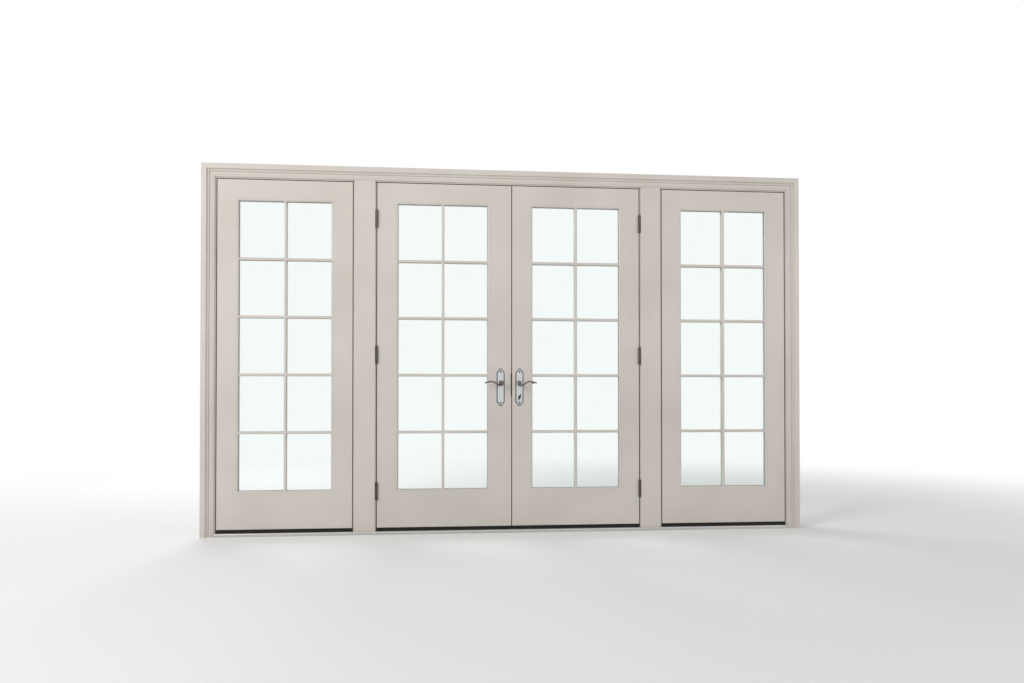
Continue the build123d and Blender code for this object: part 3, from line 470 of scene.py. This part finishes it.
def black_rubber():
    """Matt black rubber with a little dust on it."""
    material, tree, shader = new_material("black_rubber")
    dust = noise(tree, RUBBER_DUST_SPOTS, detail=5.0)
    colour = ramp(tree, dust, BLACK_RUBBER, RUBBER_DUST, low_at=0.45, high_at=0.85)
    tree.links.new(colour, shader.inputs["Base Color"])
    tree.links.new(ramp(tree, dust, *RUBBER_ROUGHNESS), shader.inputs["Roughness"])
    shader.inputs["Specular IOR Level"].default_value = 0.25
    bump(tree, shader, noise(tree, RUBBER_GRAIN), RUBBER_RELIEF)
    return material


def window_glass():
    """Clear float glass that lets lamp light through to the floor."""
    material, tree, shader = new_material("window_glass")
    shader.inputs["Base Color"].default_value = (*GLASS_TINT, 1.0)
    shader.inputs["Transmission Weight"].default_value = 1.0
    shader.inputs["Roughness"].default_value = 0.0
    shader.inputs["IOR"].default_value = 1.5
    bump(tree, shader, noise(tree, GLASS_WAVES, detail=1.0), GLASS_RELIEF)
    clear = tree.nodes.new("ShaderNodeBsdfTransparent")
    clear.inputs["Color"].default_value = (*GLASS_TINT, 1.0)
    shadow_ray = tree.nodes.new("ShaderNodeLightPath").outputs["Is Shadow Ray"]
    show(tree, mix_surfaces(tree, shadow_ray, shader.outputs["BSDF"], clear.outputs["BSDF"]))
    return material


paint_up = painted_wood("paint_brushed_up", PAINT_STROKES_UP)
paint_across = painted_wood("paint_brushed_across", PAINT_STROKES_ACROSS)
bronze = aged_bronze()
plate_metal = plate_nickel()
lever_metal = handled_nickel("lever_nickel", LEVER_NICKEL, LEVER_NICKEL_DARK)
turn_metal = handled_nickel("thumbturn_nickel", TURN_NICKEL, TURN_NICKEL_DARK)
# Near-black plate screws, partly painted shade for their countersinks
screw_metal = handled_nickel("dark_screws", SCREW_WORN, SCREW_BLACK)
lock_steel = brushed_metal("brushed_steel", STEEL, STEEL_DARK, STEEL_ROUGHNESS, STEEL_LINES)
sill_metal = brushed_metal("sill_aluminium", SILL_METAL, SILL_METAL_DARK, ALUMINIUM_ROUGHNESS, SILL_LINES)
spacer_metal = brushed_metal("spacer_aluminium", SPACER_METAL, SPACER_METAL_DARK, ALUMINIUM_ROUGHNESS,
                             SPACER_LINES)
rubber = black_rubber()
glass = window_glass()


# Finishes on the CAD nodes


BRUSHED_ACROSS = ("rail", "head_jamb", "head_casing", "outside_trim")
slot_of = {part["node"]: part["material_slot"] for part in frame["record"]["subparts"]}
finish_of_slot = {
    "glass": glass, "spacer": spacer_metal, "rubber": rubber, "threshold": sill_metal,
    "hinge_metal": bronze, "handle_metal": lever_metal, "lock_steel": lock_steel, "strike_metal": bronze,
}


def finish_for(node):
    slot = slot_of[node]
    if slot == "paint":
        return paint_across if any(word in node for word in BRUSHED_ACROSS) else paint_up
    if node.endswith("side_plate"):
        return plate_metal
    if node == "thumbturn":
        return turn_metal
    return finish_of_slot[slot]


for node, shown in nodes.items():
    shown.data.materials.clear()
    shown.data.materials.append(finish_for(node))


# Screw heads


def screw_head_tree():
    """Points in, cross-recessed screw heads out, each turned about its own axis at random."""
    tree = bpy.data.node_groups.new("screw_heads", "GeometryNodeTree")
    sockets = {}

    def wanted(name, kind, value=None, least=None):
        socket = tree.interface.new_socket(name, in_out="INPUT", socket_type=kind)
        if value is not None:
            socket.default_value = value
        if least is not None:
            socket.min_value = least
        sockets[name] = socket.identifier

    wanted("Geometry", "NodeSocketGeometry")
    wanted("Head radius", "NodeSocketFloat", HEAD_RADIUS, 0.0)
    wanted("Head height", "NodeSocketFloat", RAISED_HEAD, 0.0)
    wanted("Finish", "NodeSocketMaterial")
    tree.interface.new_socket("Geometry", in_out="OUTPUT", socket_type="NodeSocketGeometry")

    def add(kind, **inputs):
        node = tree.nodes.new(kind)
        for name, value in inputs.items():
            node.inputs[name].default_value = value
        return node

    def link(start, end):
        tree.links.new(start, end)

    def triple(x, y, z):
        node = add("ShaderNodeCombineXYZ")
        for value, socket in zip((x, y, z), node.inputs):
            if isinstance(value, float):
                socket.default_value = value
            else:
                link(value, socket)
        return node.outputs["Vector"]

    given = add("NodeGroupInput")
    result = add("NodeGroupOutput")
    radius = given.outputs["Head radius"]
    height = given.outputs["Head height"]
    ball = add("GeometryNodeMeshUVSphere", Segments=HEAD_SEGMENTS, Rings=HEAD_RINGS, Radius=1.0)
    dome = add("GeometryNodeTransform")
    link(ball.outputs["Mesh"], dome.inputs["Geometry"])
    link(triple(radius, radius, height), dome.inputs["Scale"])
    long = calculate(tree, "MULTIPLY", radius, 2.0 * RECESS_REACH)
    wide = calculate(tree, "MULTIPLY", radius, RECESS_WIDTH)
    arms = add("GeometryNodeJoinGeometry")
    for size in (triple(long, wide, RECESS_DEPTH), triple(wide, long, RECESS_DEPTH)):
        arm = add("GeometryNodeMeshCube")
        link(size, arm.inputs["Size"])
        raised = add("GeometryNodeTransform")
        link(arm.outputs["Mesh"], raised.inputs["Geometry"])
        link(triple(0.0, 0.0, height), raised.inputs["Translation"])
        link(raised.outputs["Geometry"], arms.inputs["Geometry"])
    cut = add("GeometryNodeMeshBoolean")
    cut.operation = "DIFFERENCE"
    cut.solver = "EXACT"
    cut.inputs["Self Intersection"].default_value = True
    link(dome.outputs["Geometry"], cut.inputs["Mesh 1"])
    link(arms.outputs["Geometry"], cut.inputs["Mesh 2"])
    facing = add("GeometryNodeInputNamedAttribute", Name="facing")
    facing.data_type = "FLOAT_VECTOR"
    aim = add("FunctionNodeAlignRotationToVector")
    aim.axis = "Z"
    link(facing.outputs["Attribute"], aim.inputs["Vector"])
    turn = add("FunctionNodeRandomValue", Seed=SCREW_TURN_SEED)
    turn.data_type = "FLOAT"
    for socket in turn.inputs:
        if socket.name == "Max" and socket.type == "VALUE":
            socket.default_value = math.pi
    spin = add("FunctionNodeAxisAngleToRotation", Axis=(0.0, 0.0, 1.0))
    link(next(socket for socket in turn.outputs if socket.type == "VALUE"), spin.inputs["Angle"])
    rotate = add("FunctionNodeRotateRotation")
    rotate.rotation_space = "LOCAL"
    link(aim.outputs["Rotation"], rotate.inputs["Rotation"])
    link(spin.outputs["Rotation"], rotate.inputs["Rotate By"])
    place = add("GeometryNodeInstanceOnPoints")
    link(given.outputs["Geometry"], place.inputs["Points"])
    link(cut.outputs["Mesh"], place.inputs["Instance"])
    link(rotate.outputs["Rotation"], place.inputs["Rotation"])
    real = add("GeometryNodeRealizeInstances")
    link(place.outputs["Instances"], real.inputs["Geometry"])
    coat = add("GeometryNodeSetMaterial")
    link(real.outputs["Geometry"], coat.inputs["Geometry"])
    link(given.outputs["Finish"], coat.inputs["Material"])
    link(coat.outputs["Geometry"], result.inputs["Geometry"])
    return tree, sockets


screw_tree, screw_sockets = screw_head_tree()


def add_screws(name, body, finish, seats, height, radius=HEAD_RADIUS):
    """Screw heads at seats, pairs of a place and the way the head faces; they ride on a body."""
    points = bpy.data.meshes.new(name + "_places")
    points.from_pydata([place for place, way in seats], [], [])
    facing = points.attributes.new("facing", "FLOAT_VECTOR", "POINT")
    for item, (place, way) in zip(facing.data, seats):
        item.vector = way
    maker = add_object(name + "_maker", points)
    modifier = maker.modifiers.new("screws", "NODES")
    modifier.node_group = screw_tree
    modifier[screw_sockets["Head radius"]] = radius
    modifier[screw_sockets["Head height"]] = height
    modifier[screw_sockets["Finish"]] = finish
    graph = bpy.context.evaluated_depsgraph_get()
    mesh = bpy.data.meshes.new_from_object(maker.evaluated_get(graph))
    mesh.name = name
    smooth(mesh)
    bpy.data.objects.remove(maker)
    screws = add_object(name, mesh)
    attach(screws, body)


def plate_seats(node, out):
    """Two seats up a handle plate; out is -1 on the room side and 1 outside."""
    low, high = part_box(node)
    x = (low[0] + high[0]) / 2
    face = low[1] if out < 0 else high[1]
    return [((x, face, z), (0, out, 0)) for z in (low[2] + PLATE_SCREW_INSET, high[2] - PLATE_SCREW_INSET)]


def hinge_seats(node, way):
    """Screw seats of three hinge plates; way is the X direction in which their faces look."""
    low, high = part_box(node)
    axis = (low[0] + high[0]) / 2
    face = axis - way * HINGE_GAP / 2
    middle_y = high[1] - HINGE_PLATE_REACH / 2
    bottom = low[2] + HINGE_HEIGHT / 2
    top = high[2] - HINGE_HEIGHT / 2
    seats = []
    for centre in (bottom, (bottom + top) / 2, top):
        for row in range(HINGE_SCREW_ROWS):
            z = centre + HINGE_HEIGHT * ((row + 0.5) / HINGE_SCREW_ROWS - 0.5)
            y = middle_y + HINGE_SCREW_ZIGZAG * (row % 2 - 0.5)
            seats.append(((face, y, z), (way, 0, 0)))
    return seats


def edge_seats(x, low_z, high_z, inset, way):
    """Two seats up a plate on a door's edge; way is the X direction in which it faces."""
    return [((x, DOOR_MIDDLE_Y, z), (way, 0, 0)) for z in (low_z + inset, high_z - inset)]


def add_all_screws():
    strike_low, strike_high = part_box("strike_plate")
    case_low, case_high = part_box("right_lock_case")
    strike_seats = edge_seats(strike_high[0], strike_low[2], strike_high[2], STRIKE_SCREW_INSET, 1)
    case_seats = edge_seats(case_low[0], case_low[2], case_high[2], FACEPLATE_SCREW_INSET, -1)
    right_plates = plate_seats("right_inside_plate", -1) + plate_seats("right_outside_plate", 1)
    left_bronze = hinge_seats("left_door_hinge_plates", -1) + strike_seats
    frame_bronze = hinge_seats("left_frame_hinge_plates", 1) + hinge_seats("right_frame_hinge_plates", -1)
    add_screws("left_plate_screws", "left_door", screw_metal,
               plate_seats("left_inside_plate", -1), RAISED_HEAD, PLATE_HEAD_RADIUS)
    add_screws("right_plate_screws", "right_door", screw_metal, right_plates,
               RAISED_HEAD, PLATE_HEAD_RADIUS)
    add_screws("left_door_hinge_screws", "left_door", bronze, left_bronze, FLAT_HEAD)
    add_screws("right_door_hinge_screws", "right_door", bronze,
               hinge_seats("right_door_hinge_plates", 1), FLAT_HEAD)
    add_screws("frame_hinge_screws", "frame", bronze, frame_bronze, FLAT_HEAD)
    add_screws("faceplate_screws", "right_door", lock_steel, case_seats, FLAT_HEAD)


add_all_screws()


# Seal between the doors


def add_meeting_seal():
    """Bulb seal down the astragal, which closes the gap to the right door behind the strike plate."""
    low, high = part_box("astragal")
    strike_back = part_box("strike_plate")[1][1]
    far_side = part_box("right_door_meeting_stile")[0][0]
    root = high[0] - SEAL_SEATED
    reach = far_side - SEAL_CLEAR - high[0]
    half = (high[1] - SEAL_FROM_OUTSIDE - strike_back) / 2
    middle = strike_back + half
    outline = [(root, middle - half), (root, middle + half)]
    for step in range(SEAL_STEPS + 1):
        turn = math.pi * (0.5 - step / SEAL_STEPS)
        outline.append((high[0] + reach * math.cos(turn), middle + half * math.sin(turn)))
    shape = bmesh.new()
    bottom, top = [[shape.verts.new((x, y, z)) for x, y in outline] for z in (low[2], high[2])]
    for first in range(len(outline)):
        second = (first + 1) % len(outline)
        shape.faces.new((bottom[first], bottom[second], top[second], top[first]))
    shape.faces.new(bottom)
    shape.faces.new(top)
    bmesh.ops.recalc_face_normals(shape, faces=shape.faces)
    mesh = bpy.data.meshes.new("meeting_seal")
    shape.to_mesh(mesh)
    shape.free()
    mesh.materials.append(rubber)
    smooth(mesh)
    seal = add_object("meeting_seal", mesh)
    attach(seal, "left_door")


add_meeting_seal()


# Floor, world, lamps and camera


def floor_material():
    """Pale floor that keeps the shadows near the doors and fades into the white backdrop."""
    material, tree, shader = new_material("pale_floor")
    shader.inputs["Base Color"].default_value = (FLOOR_GREY, FLOOR_GREY, FLOOR_GREY, 1.0)
    shader.inputs["Roughness"].default_value = 0.85
    shader.inputs["Specular IOR Level"].default_value = 0.2
    glow = tree.nodes.new("ShaderNodeEmission")
    glow.inputs["Strength"].default_value = 1.0
    place = tree.nodes.new("ShaderNodeTexCoord")
    far = tree.nodes.new("ShaderNodeVectorMath")
    far.operation = "LENGTH"
    tree.links.new(place.outputs["Object"], far.inputs[0])
    faded = between(tree, far.outputs["Value"], FLOOR_FADES, FLOOR_WHITE)
    show(tree, mix_surfaces(tree, faded, shader.outputs["BSDF"], glow.outputs["Emission"]))
    return material


def add_floor():
    reach = FLOOR_REACH
    mesh = bpy.data.meshes.new("floor")
    corners = [(-reach, -reach, 0.0), (reach, -reach, 0.0), (reach, reach, 0.0), (-reach, reach, 0.0)]
    mesh.from_pydata(corners, [], [(0, 1, 2, 3)])
    mesh.materials.append(floor_material())
    floor = add_object("floor", mesh)


def white_sky(tree, strength):
    """An even white background of this strength."""
    sky = tree.nodes.new("ShaderNodeBackground")
    sky.inputs["Color"].default_value = WHITE
    sky.inputs["Strength"].default_value = strength
    return sky.outputs["Background"]


def set_world():
    """White where it is seen, through the glass and in reflections too, and a dimmer light."""
    world = bpy.data.worlds.new("studio")
    bpy.context.scene.world = world
    world.use_nodes = True
    tree = world.node_tree
    tree.nodes.clear()
    tree.nodes.new("ShaderNodeOutputWorld")
    path = tree.nodes.new("ShaderNodeLightPath").outputs
    seen = calculate(tree, "MAXIMUM", path["Is Camera Ray"], path["Is Transmission Ray"])
    seen = calculate(tree, "MAXIMUM", seen, path["Is Glossy Ray"])
    show(tree, mix_surfaces(tree, seen, white_sky(tree, WORLD_LIGHT), white_sky(tree, WORLD_SEEN)))


def add_lamp(name, place, size, power, mirrored=True):
    """An area lamp that the camera sees neither straight nor through the glass."""
    light = bpy.data.lights.new(name, "AREA")
    light.shape = "RECTANGLE"
    light.size, light.size_y = size
    light.energy = power
    lamp = add_object(name, light)
    lamp.location = place
    lamp.rotation_euler = (Vector(LAMPS_AIM_AT) - Vector(place)).to_track_quat("-Z", "Y").to_euler()
    lamp.visible_camera = False
    lamp.visible_transmission = False
    lamp.visible_glossy = mirrored


def add_camera():
    data = bpy.data.cameras.new("camera")
    data.sensor_width = SENSOR
    data.lens = FOCAL_PIXELS / FRAME_PIXELS * SENSOR
    data.shift_y = AXIS_BELOW_CENTRE / FRAME_PIXELS
    camera = add_object("camera", data)
    camera.location = CAMERA_AT
    camera.rotation_euler = (CAMERA_TILT, 0.0, CAMERA_TURN)
    bpy.context.scene.camera = camera


add_floor()
set_world()
add_lamp("key", **KEY_LAMP)
add_lamp("fill", **FILL_LAMP)
add_lamp("outdoors", **OUTDOOR_LAMP)
add_camera()
bpy.context.scene.view_settings.view_transform = "Standard"
